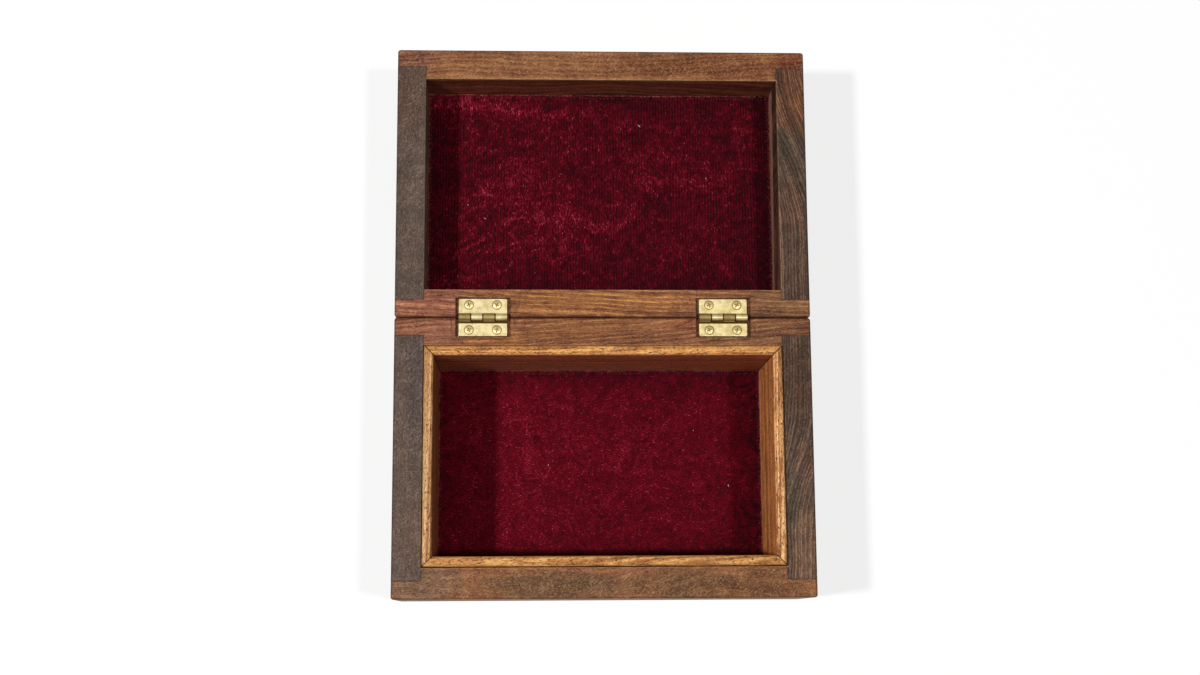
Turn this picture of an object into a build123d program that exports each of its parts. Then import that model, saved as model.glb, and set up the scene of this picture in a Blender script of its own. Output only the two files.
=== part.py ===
from build123d import *
import math
import os

# A small wooden jewellery box, open flat: the base lies in front of the hinge line and the
# lid behind it. x runs along the hinge line, y from the base towards the lid, z up.
# The origin is on the supporting surface, under the middle of the hinge line.

# Overall sizes
box_width = 152.4
box_depth = 101.6
base_height = 42.0
lid_height = 26.0

# Gaps at the hinge line: each back face to the hinge plane, each rim to the hinge axis
seam_gap = 0.15
rim_gap = 0.1

# Boards, joined at the corners by rabbets cut in the front and back boards
side_board_thickness = 10.6
front_board_thickness = 11.2
back_board_thickness = 10.2
tongue_thickness = 6.5
corner_radius = 1.0
outer_edge_radius = 0.6
inner_edge_radius = 0.4

# Bottom and top panels, let into a rabbet round the outside of the boards
bottom_panel_thickness = 4.0
top_panel_thickness = 4.5
panel_rabbet_width = 4.0
panel_fit = 0.1

# Liner strips that line the base and stand proud of its rim
liner_thickness = 3.7
liner_proud = 2.0
liner_gap = 0.25
liner_top_flat = 0.6
mitre_gap = 0.08

# Velvet glued on card, on the floor of the base and inside the lid
card_thickness = 1.0
velvet_thickness = 1.0
card_gap = 0.1
velvet_gap = 0.3

# Butt hinges
hinge_offset = 44.0
hinge_length = 17.7
leaf_reach = 6.95
leaf_thickness = 0.8
leaf_corner_radius = 0.6
leaf_edge_radius = 0.15
knuckle_count = 4
knuckle_gap = 0.12
knuckle_slot = 0.2
pin_radius = 0.42
pin_clearance = 0.03
pin_inset = 0.3

# Mortises for the hinges
mortise_side_gap = 1.2
mortise_end_gap = 0.25
barrel_clearance = 0.25

# Hinge screws
screw_end_distance = 3.75
screw_edge_distance = 2.3
screw_length = 8.0
screw_tip_length = 2.4
screw_shank_radius = 0.8
screw_head_radius = 1.65
screw_head_rim = 0.12
screw_head_cone = 0.6
screw_crown = 0.25
screw_recess_span = 1.8
screw_recess_width = 0.4
screw_recess_depth = 0.6
screw_fit = 0.04
first_recess_angle = 25.0
recess_angle_step = 35.0

# Worked out from the sizes above
rim_height = base_height
hinge_axis_height = rim_height + rim_gap
opening_width = box_width - 2 * side_board_thickness
opening_depth = box_depth - front_board_thickness - back_board_thickness
liner_outer_width = opening_width - 2 * liner_gap
liner_outer_depth = opening_depth - 2 * liner_gap
liner_inner_width = liner_outer_width - 2 * liner_thickness
liner_inner_depth = liner_outer_depth - 2 * liner_thickness
liner_height = base_height + liner_proud - bottom_panel_thickness
liner_top_radius = (liner_thickness - liner_top_flat) / 2
knuckle_radius = pin_radius + pin_clearance + leaf_thickness
knuckle_pitch = hinge_length / knuckle_count
leaf_floor_height = hinge_axis_height - knuckle_radius
leaf_face_height = leaf_floor_height + leaf_thickness

# The base lies on the near side of the hinge line and the lid on the far side
BASE = -1
LID = 1
STANDING = (Align.CENTER, Align.CENTER, Align.MIN)
HANGING = (Align.CENTER, Align.CENTER, Align.MAX)


def span(x_low, x_high, y_first, y_second, z_low, z_high):
    """A rectangular block between two corners, with its y limits in either order."""
    y_low = min(y_first, y_second)
    block = Box(x_high - x_low, abs(y_second - y_first), z_high - z_low, align=Align.MIN)
    return Pos(x_low, y_low, z_low) * block


def opening_centre(side):
    """Middle of the inside of the base or the lid, across the hinge line."""
    return side * (seam_gap + back_board_thickness + opening_depth / 2)


def centred_block(side, width, depth, z_low, thickness):
    """A rectangular block centred on the inside of the base or the lid."""
    return Pos(0, opening_centre(side), z_low) * Box(width, depth, thickness, align=STANDING)


def walls(side, height, panel_thickness):
    """The four walls of the base or the lid in one ring, rim upwards."""
    z_low = rim_height - height
    half = box_width / 2
    back_face = side * seam_gap
    ring = span(-half, half, back_face, back_face + side * box_depth, z_low, rim_height)
    ring = fillet(ring.edges().filter_by(Axis.Z), corner_radius)
    outer_edges = ring.edges().group_by(Axis.Z)[0] + ring.edges().group_by(Axis.Z)[-1]
    ring = fillet(outer_edges, outer_edge_radius)
    ring = ring - centred_block(side, opening_width, opening_depth, z_low, height)
    rim = ring.faces().sort_by(Axis.Z)[-1]
    ring = fillet(rim.inner_wires()[0].edges(), inner_edge_radius)
    rabbet_width = opening_width + 2 * panel_rabbet_width
    rabbet_depth = opening_depth + 2 * panel_rabbet_width
    return ring - centred_block(side, rabbet_width, rabbet_depth, z_low, panel_thickness)


def long_board_space(y_outer, inwards, thickness, height):
    """Where a front or back board is: full width outside, between the side boards inside."""
    z_low = rim_height - height
    half = box_width / 2
    inner_half = half - side_board_thickness
    y_tongue = y_outer + inwards * tongue_thickness
    y_inner = y_outer + inwards * thickness
    tongue = span(-half, half, y_outer, y_tongue, z_low, rim_height)
    body = span(-inner_half, inner_half, y_outer, y_inner, z_low, rim_height)
    return tongue + body


def boards(side, height, panel_thickness):
    """Front, back, left and right boards of the base or the lid."""
    ring = walls(side, height, panel_thickness)
    front_face = side * (seam_gap + box_depth)
    back_face = side * seam_gap
    front_space = long_board_space(front_face, -side, front_board_thickness, height)
    back_space = long_board_space(back_face, side, back_board_thickness, height)
    front = ring & front_space
    back = (ring & back_space) - hinge_mortises(side)
    left, right = (ring - front_space - back_space).solids().sort_by(Axis.X)
    return front, back, left, right


def panel(side, height, thickness):
    """The bottom of the base or the top of the lid, flush with the outside."""
    width = opening_width + 2 * (panel_rabbet_width - panel_fit)
    depth = opening_depth + 2 * (panel_rabbet_width - panel_fit)
    return centred_block(side, width, depth, rim_height - height, thickness)


def liner_strip(length):
    """A mitred strip along x, outer face at y = 0, with a rounded top edge."""
    bar = Box(length, liner_thickness, liner_height, align=(Align.CENTER, Align.MIN, Align.MIN))
    bar = fillet(bar.edges().filter_by(Axis.X).group_by(Axis.Z)[-1], liner_top_radius)
    outer_half = length / 2 - mitre_gap
    inner_half = outer_half - liner_thickness
    outline = Polyline(
        (-outer_half, 0),
        (outer_half, 0),
        (inner_half, liner_thickness),
        (-inner_half, liner_thickness),
        close=True,
    )
    return bar & extrude(make_face(outline), liner_height)


def liner_piece(length, outer_distance, turn):
    """A liner strip stood against one wall of the base, turned about the middle of the base."""
    strip = Pos(0, -outer_distance, 0) * liner_strip(length)
    return Pos(0, opening_centre(BASE), bottom_panel_thickness) * Rot(0, 0, turn) * strip


def screw_blank(extra):
    """A screw without its recess, head rim at z = 0; extra widens it into its own hole."""
    head = screw_head_radius + extra
    shank = screw_shank_radius + extra
    half_crown_angle = math.atan2(screw_crown, head)
    crown_radius = head / math.sin(2 * half_crown_angle)
    middle_radius = crown_radius * math.sin(half_crown_angle)
    middle_height = screw_crown - crown_radius * (1 - math.cos(half_crown_angle))
    crown = ThreePointArc((0, screw_crown), (middle_radius, middle_height), (head, 0))
    body = Polyline(
        (head, 0),
        (head, -screw_head_rim),
        (shank, -screw_head_rim - screw_head_cone),
        (shank, screw_tip_length - screw_length),
        (0, -screw_length - extra),
        (0, screw_crown),
    )
    profile = Plane.XZ * make_face(crown.edges() + body.edges())
    return revolve(profile, Axis.Z)


def screw(angle):
    """A hinge screw with a cross recess in its head, turned by an angle."""
    arm = Box(screw_recess_span, screw_recess_width, screw_recess_depth, align=HANGING)
    recess = arm + Rot(0, 0, 90) * arm
    return screw_blank(0) - Pos(0, 0, screw_crown) * Rot(0, 0, angle) * recess


def screw_places(hinge_x, side):
    """The two screw places of one leaf, on the face of the leaf."""
    half_spacing = hinge_length / 2 - screw_end_distance
    y = side * (leaf_reach - screw_edge_distance)
    return [Pos(hinge_x + x, y, leaf_face_height) for x in (-half_spacing, half_spacing)]


def hinge_mortises(side):
    """What is cut from a back board for its two hinge leaves, barrels and screws."""
    cut = []
    half = hinge_length / 2 + mortise_side_gap
    above = hinge_axis_height + knuckle_radius
    barrel = knuckle_radius + barrel_clearance
    y_end = side * (leaf_reach + mortise_end_gap)
    for hinge_x in (-hinge_offset, hinge_offset):
        low = hinge_x - half
        high = hinge_x + half
        cut.append(span(low, high, 0, y_end, leaf_floor_height, above))
        cut.append(span(low, high, 0, side * barrel, hinge_axis_height - barrel, above))
        cut += [place * screw_blank(screw_fit) for place in screw_places(hinge_x, side)]
    return cut


def along_hinge(radius, x_low, x_high):
    """A round bar on the hinge axis."""
    bar = Cylinder(radius, x_high - x_low, align=STANDING)
    return Pos(x_low, 0, hinge_axis_height) * Rot(0, 90, 0) * bar


def hinge_leaf(hinge_x, side):
    """One leaf with its knuckles, holes for two screws and a bore for the pin."""
    low = hinge_x - hinge_length / 2
    high = hinge_x + hinge_length / 2
    y_root = side * (knuckle_radius + knuckle_slot)
    y_bridge = y_root + side * leaf_edge_radius
    leaf = span(low, high, y_root, side * leaf_reach, leaf_floor_height, leaf_face_height)
    corners = leaf.edges().filter_by(Axis.Z).group_by(Axis.Y)
    leaf = fillet(corners[0] if side == BASE else corners[-1], leaf_corner_radius)
    leaf = fillet(leaf.edges().group_by(Axis.Z)[-1], leaf_edge_radius)
    first = 0 if side == BASE else 1
    for index in range(first, knuckle_count, 2):
        start = low + index * knuckle_pitch + knuckle_gap / 2
        end = start + knuckle_pitch - knuckle_gap
        leaf += span(start, end, 0, y_bridge, leaf_floor_height, leaf_face_height)
        leaf += along_hinge(knuckle_radius, start, end)
    leaf -= along_hinge(pin_radius + pin_clearance, low, high)
    return leaf - [place * screw_blank(screw_fit) for place in screw_places(hinge_x, side)]


def hinge_pin(hinge_x):
    """The pin that holds the two leaves together."""
    half = hinge_length / 2 - pin_inset
    return along_hinge(pin_radius, hinge_x - half, hinge_x + half)


def leaf_screws(hinge_x, side):
    """The two screws of one leaf."""
    angles = (first_recess_angle, first_recess_angle + side * recess_angle_step)
    places = screw_places(hinge_x, side)
    return Compound([place * screw(angle) for place, angle in zip(places, angles)])


def case_nodes(prefix, side, height, panel_name, panel_thickness):
    """Boards and panel of the base or the lid, by name."""
    front, back, left, right = boards(side, height, panel_thickness)
    return {
        f"{prefix}_front_board": front,
        f"{prefix}_back_board": back,
        f"{prefix}_left_board": left,
        f"{prefix}_right_board": right,
        f"{prefix}_{panel_name}": panel(side, height, panel_thickness),
    }


def liner_nodes():
    """The four liner strips of the base, by name."""
    half_width = liner_outer_width / 2
    half_depth = liner_outer_depth / 2
    return {
        "base_liner_front": liner_piece(liner_outer_width, half_depth, 0),
        "base_liner_right": liner_piece(liner_outer_depth, half_width, 90),
        "base_liner_back": liner_piece(liner_outer_width, half_depth, 180),
        "base_liner_left": liner_piece(liner_outer_depth, half_width, 270),
    }


def lining_nodes(prefix, side, width, depth, floor):
    """Card and velvet of the base or the lid, by name."""
    card = centred_block(side, width - 2 * card_gap, depth - 2 * card_gap, floor, card_thickness)
    pile_floor = floor + card_thickness
    pile_width = width - 2 * velvet_gap
    pile_depth = depth - 2 * velvet_gap
    velvet = centred_block(side, pile_width, pile_depth, pile_floor, velvet_thickness)
    return {f"{prefix}_velvet_card": card, f"{prefix}_velvet": velvet}


def hinge_nodes(prefix, hinge_x):
    """Leaves, pin and screws of one hinge, by name."""
    return {
        f"{prefix}_hinge_base_leaf": hinge_leaf(hinge_x, BASE),
        f"{prefix}_hinge_lid_leaf": hinge_leaf(hinge_x, LID),
        f"{prefix}_hinge_pin": hinge_pin(hinge_x),
        f"{prefix}_hinge_base_screws": leaf_screws(hinge_x, BASE),
        f"{prefix}_hinge_lid_screws": leaf_screws(hinge_x, LID),
    }


def main():
    lid_floor = rim_height - lid_height + top_panel_thickness
    nodes = case_nodes("base", BASE, base_height, "bottom_panel", bottom_panel_thickness)
    nodes |= liner_nodes()
    nodes |= lining_nodes("base", BASE, liner_inner_width, liner_inner_depth, bottom_panel_thickness)
    nodes |= case_nodes("lid", LID, lid_height, "top_panel", top_panel_thickness)
    nodes |= lining_nodes("lid", LID, opening_width, opening_depth, lid_floor)
    nodes |= hinge_nodes("left", -hinge_offset)
    nodes |= hinge_nodes("right", hinge_offset)
    os.makedirs("parts", exist_ok=True)
    for name, solid in nodes.items():
        export_step(solid, f"parts/{name}.step")


main()
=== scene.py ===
import math
import random
from collections import namedtuple

import bpy
import numpy as np
from mathutils import Euler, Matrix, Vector


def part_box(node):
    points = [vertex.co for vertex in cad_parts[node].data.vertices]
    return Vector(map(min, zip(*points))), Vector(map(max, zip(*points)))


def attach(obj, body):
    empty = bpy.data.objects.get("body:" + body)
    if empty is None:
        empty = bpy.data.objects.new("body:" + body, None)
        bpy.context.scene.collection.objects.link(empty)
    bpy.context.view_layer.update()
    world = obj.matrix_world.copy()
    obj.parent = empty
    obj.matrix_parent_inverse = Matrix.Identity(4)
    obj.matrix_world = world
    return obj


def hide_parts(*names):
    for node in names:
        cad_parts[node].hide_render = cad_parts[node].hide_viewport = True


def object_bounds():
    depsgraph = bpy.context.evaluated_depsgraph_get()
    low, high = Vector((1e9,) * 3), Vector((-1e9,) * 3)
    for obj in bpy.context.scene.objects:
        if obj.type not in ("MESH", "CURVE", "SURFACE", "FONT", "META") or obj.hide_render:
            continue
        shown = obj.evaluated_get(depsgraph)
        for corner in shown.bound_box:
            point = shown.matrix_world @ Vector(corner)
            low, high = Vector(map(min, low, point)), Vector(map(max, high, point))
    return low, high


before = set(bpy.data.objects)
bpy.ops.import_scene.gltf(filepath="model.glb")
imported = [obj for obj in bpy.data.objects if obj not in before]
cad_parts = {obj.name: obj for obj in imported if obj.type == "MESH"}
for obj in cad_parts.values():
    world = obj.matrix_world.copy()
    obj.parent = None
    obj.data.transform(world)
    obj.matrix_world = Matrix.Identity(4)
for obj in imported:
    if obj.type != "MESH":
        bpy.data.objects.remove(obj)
cad_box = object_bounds()

bl_info = {
    "name": "Open jewellery box",
    "version": (1, 0, 0),
    "blender": (4, 5, 0),
    "location": "3D View > Sidebar > Jewellery box",
    "description": "Finishes a hinged wooden jewellery box: rosewood, pale liner, velvet and brass",
    "category": "Material",
}

# One millimetre in metres
MILLIMETRE = 0.001


def extent(node):
    """Lowest and highest corner of a piece of the construction, in millimetres."""
    low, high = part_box(node)
    return low / MILLIMETRE, high / MILLIMETRE


# The construction's own sizes, read from the frame, in millimetres: corners of the open box
CASE_LOW, CASE_HIGH = (corner / MILLIMETRE for corner in cad_box)

# Heights of both rims and of the lid's outside, which faces down while the lid is open
RIM = extent("base_back_board")[1].z
LID_OUTSIDE = extent("lid_back_board")[0].z

# Half the width between the side boards, and half the gap between the two back boards
OPENING_SIDE = extent("lid_right_board")[0].x
SEAM = extent("lid_back_board")[0].y

# Thickness of the tongues of the front and back boards, outside the ends of the side boards
TONGUE = extent("base_back_board")[1].y - extent("base_right_board")[1].y

# Outer corners of the liner's four strips
LINER_LOW, LINER_HIGH = extent("base_liner_front")[0], extent("base_liner_back")[1]

# Hinges: corners of a leaf, height of its flat face, and its place, half length and reach
LEAF_LOW, LEAF_HIGH = extent("right_hinge_base_leaf")
LEAF_FACE = max(
    vertex.co.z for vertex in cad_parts["right_hinge_base_leaf"].data.vertices
    if vertex.co.y < LEAF_LOW.y / 2 * MILLIMETRE
) / MILLIMETRE
HINGE_OFFSET = (LEAF_LOW.x + LEAF_HIGH.x) / 2
HINGE_HALF = (LEAF_HIGH.x - LEAF_LOW.x) / 2
HINGE_REACH = -LEAF_LOW.y

# Radius of the hinges' knuckles, whose middle lies on the line between base and lid
KNUCKLE = LEAF_HIGH.y

# Screws: radius of a head, and places of their middles from the hinge's middle and its line
SCREW_LOW, SCREW_HIGH = extent("right_hinge_base_screws")
SCREW_RADIUS = (SCREW_HIGH.y - SCREW_LOW.y) / 2
SCREW_SPREAD = (SCREW_HIGH.x - SCREW_LOW.x) / 2 - SCREW_RADIUS
SCREW_LINE = -(SCREW_LOW.y + SCREW_HIGH.y) / 2


# Settings that a user would change

def colour(name, description, default):
    """A colour setting, as linear red, green and blue."""
    return bpy.props.FloatVectorProperty(
        name=name, description=description, subtype="COLOR", size=3, min=0, max=1, default=default
    )


def length(name, description, default):
    """A length setting in metres."""
    return bpy.props.FloatProperty(
        name=name, description=description, subtype="DISTANCE", unit="LENGTH", min=0, precision=5,
        default=default,
    )


def share(name, description, default):
    """A setting from 0 to 1."""
    return bpy.props.FloatProperty(
        name=name, description=description, subtype="FACTOR", min=0, max=1, default=default
    )


def count(name, description, default):
    """A number of pieces."""
    return bpy.props.IntProperty(name=name, description=description, min=0, default=default)


def wood_settings(pieces, dark, body, light, fleck, rings, contrast, pores, roughness):
    """The settings of one kind of wood."""
    return {
        "dark": colour("Dark", f"Dark grain lines of the {pieces}", dark),
        "body": colour("Body", f"Main colour of the {pieces}", body),
        "light": colour("Light", f"Light grain lines of the {pieces}", light),
        "fleck": colour("Flecks", f"Pale flecks of the {pieces}", fleck),
        "rings": length("Ring spacing", "Distance between grain lines", rings),
        "contrast": share("Contrast", "How strongly the grain lines show", contrast),
        "pores": share("Pores", "How strongly the dark pores show", pores),
        "roughness": share("Roughness", "Roughness of the surface", roughness),
    }


class LeftWood(bpy.types.PropertyGroup):
    """The mottled grey-brown wood of the left boards."""

    __annotations__ = wood_settings(
        "left boards", dark=(0.036, 0.023, 0.017), body=(0.086, 0.055, 0.041),
        light=(0.170, 0.115, 0.084), fleck=(0.29, 0.21, 0.155),
        rings=0.0013, contrast=0.7, pores=0.35, roughness=0.55,
    )


class RightWood(bpy.types.PropertyGroup):
    """The dark, streaked wood of the right boards."""

    __annotations__ = wood_settings(
        "right boards", dark=(0.020, 0.011, 0.007), body=(0.070, 0.038, 0.024),
        light=(0.200, 0.120, 0.078), fleck=(0.31, 0.20, 0.135),
        rings=0.00105, contrast=0.96, pores=0.45, roughness=0.52,
    )


class LongWood(bpy.types.PropertyGroup):
    """The reddish brown wood of the front and back boards."""

    __annotations__ = wood_settings(
        "front and back boards", dark=(0.075, 0.021, 0.009), body=(0.245, 0.088, 0.034),
        light=(0.46, 0.198, 0.076), fleck=(0.62, 0.39, 0.19),
        rings=0.0017, contrast=0.67, pores=0.45, roughness=0.5,
    )


class PanelWood(bpy.types.PropertyGroup):
    """The wood of the top and bottom panels."""

    __annotations__ = wood_settings(
        "panels", dark=(0.040, 0.017, 0.010), body=(0.165, 0.072, 0.036),
        light=(0.33, 0.155, 0.075), fleck=(0.42, 0.25, 0.13),
        rings=0.0035, contrast=0.8, pores=0.6, roughness=0.42,
    )


class LinerWood(bpy.types.PropertyGroup):
    """The honey-coloured wood of the liner strips."""

    __annotations__ = wood_settings(
        "liner", dark=(0.17, 0.045, 0.010), body=(0.56, 0.24, 0.070),
        light=(0.90, 0.52, 0.21), fleck=(0.95, 0.72, 0.42),
        rings=0.0012, contrast=0.75, pores=1.0, roughness=0.42,
    )


class Card(bpy.types.PropertyGroup):
    """The pressed card under the velvet."""

    dark: colour("Dark pulp", "Darker part of the pulp", (0.24, 0.18, 0.12))
    light: colour("Light pulp", "Lighter part of the pulp", (0.42, 0.33, 0.22))
    fleck: colour("Flecks", "Dark flecks in the pulp", (0.12, 0.08, 0.05))
    stain: colour("Stain", "Glue and red fluff along the edges", (0.045, 0.008, 0.008))


class Velvet(bpy.types.PropertyGroup):
    """The crushed velvet of the base and the lid."""

    shade: colour("Shaded pile", "Pile that leans away from the light", (0.022, 0.0032, 0.0052))
    lit: colour("Lit pile", "Pile that leans towards the light", (0.235, 0.0034, 0.0140))
    glint: colour("Glints", "Single fibres that catch the light", (0.52, 0.062, 0.118))
    sheen: colour("Sheen", "Tint of the pile's soft sheen", (0.8, 0.06, 0.14))
    thread: colour("Threads", "Loose threads along the cut edges", (0.32, 0.075, 0.07))
    lint: colour("Lint", "Pale fibres that cling to the pile", (0.94, 0.86, 0.82))
    lint_place: bpy.props.FloatVectorProperty(
        name="Lint place", description="Where the largest fibre of lint lies on the lid's velvet",
        subtype="TRANSLATION", unit="LENGTH", size=2, precision=4, default=(0.0155, 0.078),
    )
    lid_level: share("Lid level", "How far the lid's pile leans towards the light", 0.25)
    base_level: share("Base level", "How far the base's pile leans towards the light", 0.35)
    step: length("Mesh step", "Distance between the points of the velvet's mesh", 0.0004)
    crush: length("Crush depth", "How deep the crushed pile is pressed", 0.00035)
    rib_pitch: length("Rib pitch", "Distance between the fine ribs of the lid's velvet", 0.0011)
    rib_depth: length("Rib depth", "Depth of the fine ribs", 0.00004)
    edge_reach: length("Edge reach", "How far the cloth reaches past its backing", 0.0002)
    edge_width: length("Edge width", "How wide a strip turns up against the walls", 0.0008)
    edge_rise: length("Edge rise", "How far the far edge turns up against the wall", 0.0008)
    thread_gap: length("Thread spacing", "Mean distance between loose threads", 0.0005)
    thread_radius: length("Thread radius", "Radius of a loose thread", 0.00004)
    stray_threads: count("Stray threads", "Short threads that lie about on each sheet", 420)
    lint_fibres: count("Lint fibres", "Fibres of lint on each sheet", 3)
    lint_radius: length("Lint radius", "Radius of a fibre of lint", 0.00016)


class Brass(bpy.types.PropertyGroup):
    """The brass of hinges, pins and screws."""

    bright: colour("Bright", "Rubbed brass", (0.66, 0.56, 0.315))
    body: colour("Body", "Main colour of the brass", (0.40, 0.32, 0.140))
    # Its darkest form also stands for painted shade in the hinges' gaps and round the screw heads
    tarnish: colour("Tarnish", "Dull brass in corners and round the screws", (0.155, 0.088, 0.020))
    roughness: share("Roughness", "Roughness of the brass", 0.36)
    dents: length("Dents", "Depth of the dents in the leaves", 0.00004)


class Studio(bpy.types.PropertyGroup):
    """Floor, lamps and camera."""

    place: bpy.props.FloatVectorProperty(
        name="Camera place", description="Where the camera stands", subtype="TRANSLATION",
        unit="LENGTH", size=3, precision=5, default=(-0.02734, -0.11129, 0.652997),
    )
    turn: bpy.props.FloatVectorProperty(
        name="Camera turn", description="Turn of the camera about X, Y and Z from looking straight down",
        subtype="EULER", unit="ROTATION", size=3, default=(0.1683, -0.0420, 0.0006),
    )
    lens: bpy.props.FloatProperty(
        name="Lens", description="Focal length of the camera", unit="CAMERA", default=50.95
    )
    key: bpy.props.FloatProperty(
        name="Left lamp", description="Power of the lamp on the left", subtype="POWER", default=62.0
    )
    fill: bpy.props.FloatProperty(
        name="Right lamp", description="Power of the lamp on the right", subtype="POWER", default=31.0
    )
    ambient: share("Room light", "Light that comes evenly from all sides", 0.11)
    glow: share("Floor glow", "How much the floor round the box shines by itself", 0.74)
    lamp_size: length("Lamp size", "Width of a lamp", 0.18)
    lamp_distance: length("Lamp distance", "Distance from the box to a lamp", 3.0)
    key_height: bpy.props.FloatProperty(
        name="Left lamp height", description="Angle of the left lamp above the floor",
        subtype="ANGLE", unit="ROTATION", default=math.radians(58),
    )
    fill_height: bpy.props.FloatProperty(
        name="Right lamp height", description="Angle of the right lamp above the floor",
        subtype="ANGLE", unit="ROTATION", default=math.radians(71),
    )
    lamp_lead: share(
        "Lamp lead", "How far the lamps stand towards the front, per length of height", 0.12
    )
    floor_radius: length("Floor radius", "Radius of the round floor", 3.0)
    floor: colour("Floor", "Tint of the light that the floor throws back", (0.8, 0.8, 0.8))


class JewelleryBox(bpy.types.PropertyGroup):
    """All settings of the jewellery box."""

    left_wood: bpy.props.PointerProperty(type=LeftWood)
    right_wood: bpy.props.PointerProperty(type=RightWood)
    sapwood: colour("Sapwood", "Pale strip inside the lid's right board", (0.50, 0.27, 0.17))
    long_wood: bpy.props.PointerProperty(type=LongWood)
    panel_wood: bpy.props.PointerProperty(type=PanelWood)
    liner_wood: bpy.props.PointerProperty(type=LinerWood)
    card: bpy.props.PointerProperty(type=Card)
    velvet: bpy.props.PointerProperty(type=Velvet)
    brass: bpy.props.PointerProperty(type=Brass)
    studio: bpy.props.PointerProperty(type=Studio)


# Node building

class Value:
    """A number or colour that varies over a surface: an output of a node."""

    def __init__(self, nodes, socket):
        self.nodes = nodes
        self.socket = socket

    def __add__(self, other):
        return self.nodes.math("ADD", self, other)

    def __sub__(self, other):
        return self.nodes.math("SUBTRACT", self, other)

    def __rsub__(self, other):
        return self.nodes.math("SUBTRACT", other, self)

    def __neg__(self):
        return self * -1

    def __mul__(self, other):
        return self.nodes.math("MULTIPLY", self, other)

    def __truediv__(self, other):
        return self.nodes.math("DIVIDE", self, other)

    def __abs__(self):
        return self.nodes.math("ABSOLUTE", self)

    def least(self, other):
        return self.nodes.math("MINIMUM", self, other)

    def most(self, other):
        return self.nodes.math("MAXIMUM", self, other)

    def fade(self, low, high):
        """From 0 at low to 1 at high, smoothly; low may be above high."""
        return self.nodes.add(
            "MapRange", {"Value": self, "From Min": low, "From Max": high},
            interpolation_type="SMOOTHSTEP",
        )


class Nodes:
    """The nodes of a material or a world, added one step at a time."""

    def __init__(self, owner):
        owner.use_nodes = True
        self.tree = owner.node_tree

    def put(self, socket, value):
        """Links a value to a socket, or sets a constant on it."""
        if isinstance(value, Value):
            self.tree.links.new(value.socket, socket)
        elif socket.type == "RGBA":
            socket.default_value = (*value, 1)
        else:
            socket.default_value = value

    def add(self, kind, inputs, output=0, **settings):
        """Adds a node and returns one of its outputs."""
        node = self.tree.nodes.new("ShaderNode" + kind)
        for name, value in settings.items():
            setattr(node, name, value)
        for socket, value in inputs.items():
            self.put(node.inputs[socket], value)
        return Value(self, node.outputs[output])

    def math(self, operation, *values):
        return self.add("Math", dict(enumerate(values)), operation=operation)

    def mix(self, factor, first, second, blend_type="MIX"):
        """The first colour where the factor is 0, the second where it is 1."""
        node = self.tree.nodes.new("ShaderNodeMix")
        node.data_type = "RGBA"
        node.blend_type = blend_type
        # By number, because each kind of data has its own sockets of the same names
        self.put(node.inputs[0], factor)
        self.put(node.inputs[6], first)
        self.put(node.inputs[7], second)
        return Value(self, node.outputs[2])

    def seen_directly(self):
        """1 for what the camera, a reflection or a clear material sees."""
        camera, glossy, clear = (
            self.add("LightPath", {}, output=f"Is {kind} Ray")
            for kind in ("Camera", "Glossy", "Transmission")
        )
        return camera.most(glossy).most(clear)


class Shade(Nodes):
    """A material and its nodes; x, y and z are places on its surface in millimetres."""

    def __init__(self, name):
        self.material = bpy.data.materials.new(name)
        super().__init__(self.material)
        self.shader = self.tree.nodes["Principled BSDF"]
        axes = self.tree.nodes.new("ShaderNodeSeparateXYZ")
        self.put(axes.inputs[0], self.add("TexCoord", {}, output="Object"))
        self.x, self.y, self.z = (Value(self, axis) / MILLIMETRE for axis in axes.outputs)

    def noise(self, x, y, z, detail=2.0, roughness=0.5):
        """Noise from 0 to 1 whose features are about one unit of x, y and z."""
        point = self.add("CombineXYZ", {0: x, 1: y, 2: z})
        return self.add(
            "TexNoise", {"Vector": point, "Scale": 1.0, "Detail": detail, "Roughness": roughness}
        )

    def grit(self, size, detail=2.0, roughness=0.5):
        """Noise from 0 to 1 with features of one size in every direction, in millimetres."""
        return self.noise(self.x / size, self.y / size, self.z / size, detail, roughness)

    def bands(self, distance, detail=2.0, roughness=0.5):
        """Irregular bands, about one in each unit of distance."""
        return self.add(
            "TexNoise", {"W": distance, "Scale": 1.0, "Detail": detail, "Roughness": roughness},
            noise_dimensions="1D",
        )

    def ramp(self, value, *stops):
        """A colour between stops, each a position and a colour."""
        ramp = self.add("ValToRGB", {"Fac": value})
        elements = ramp.socket.node.color_ramp.elements
        while len(elements) < len(stops):
            elements.new(1.0)
        for element, (position, tint) in zip(elements, stops):
            element.position = position
            element.color = (*tint, 1)
        return ramp

    def bump(self, height, distance):
        """A normal from a height that runs from 0 to 1 over a distance in metres."""
        return self.add("Bump", {"Height": height, "Distance": distance, "Strength": 1.0})

    def surface(self, **sockets):
        """Sets the shader's own sockets, named as it names them, with _ for a space."""
        for name, value in sockets.items():
            self.put(self.shader.inputs[name.replace("_", " ")], value)
        return self.material


def squared(value):
    return value * value


def diagonal(first, second):
    """Length of the diagonal over two values at right angles."""
    return first.nodes.math("SQRT", squared(first) + squared(second))


def hinge_distance(shade):
    """Distance sideways from the middle of the nearer hinge, in millimetres."""
    return abs(abs(shade.x) - HINGE_OFFSET)


def dimmed(tint, share_left):
    """A tint with only a share of its light left."""
    return tuple(channel * share_left for channel in tint)


def finish_node(name, material):
    """Gives a piece of the construction its material."""
    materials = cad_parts[name].data.materials
    materials.clear()
    materials.append(material)


# Wood

# Patch of another tint on a board: its middle along and across the board, its half length and
# half width, in mm, and the tint that the wood's colours are multiplied by
Patch = namedtuple("Patch", "along across length width tint")
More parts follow.
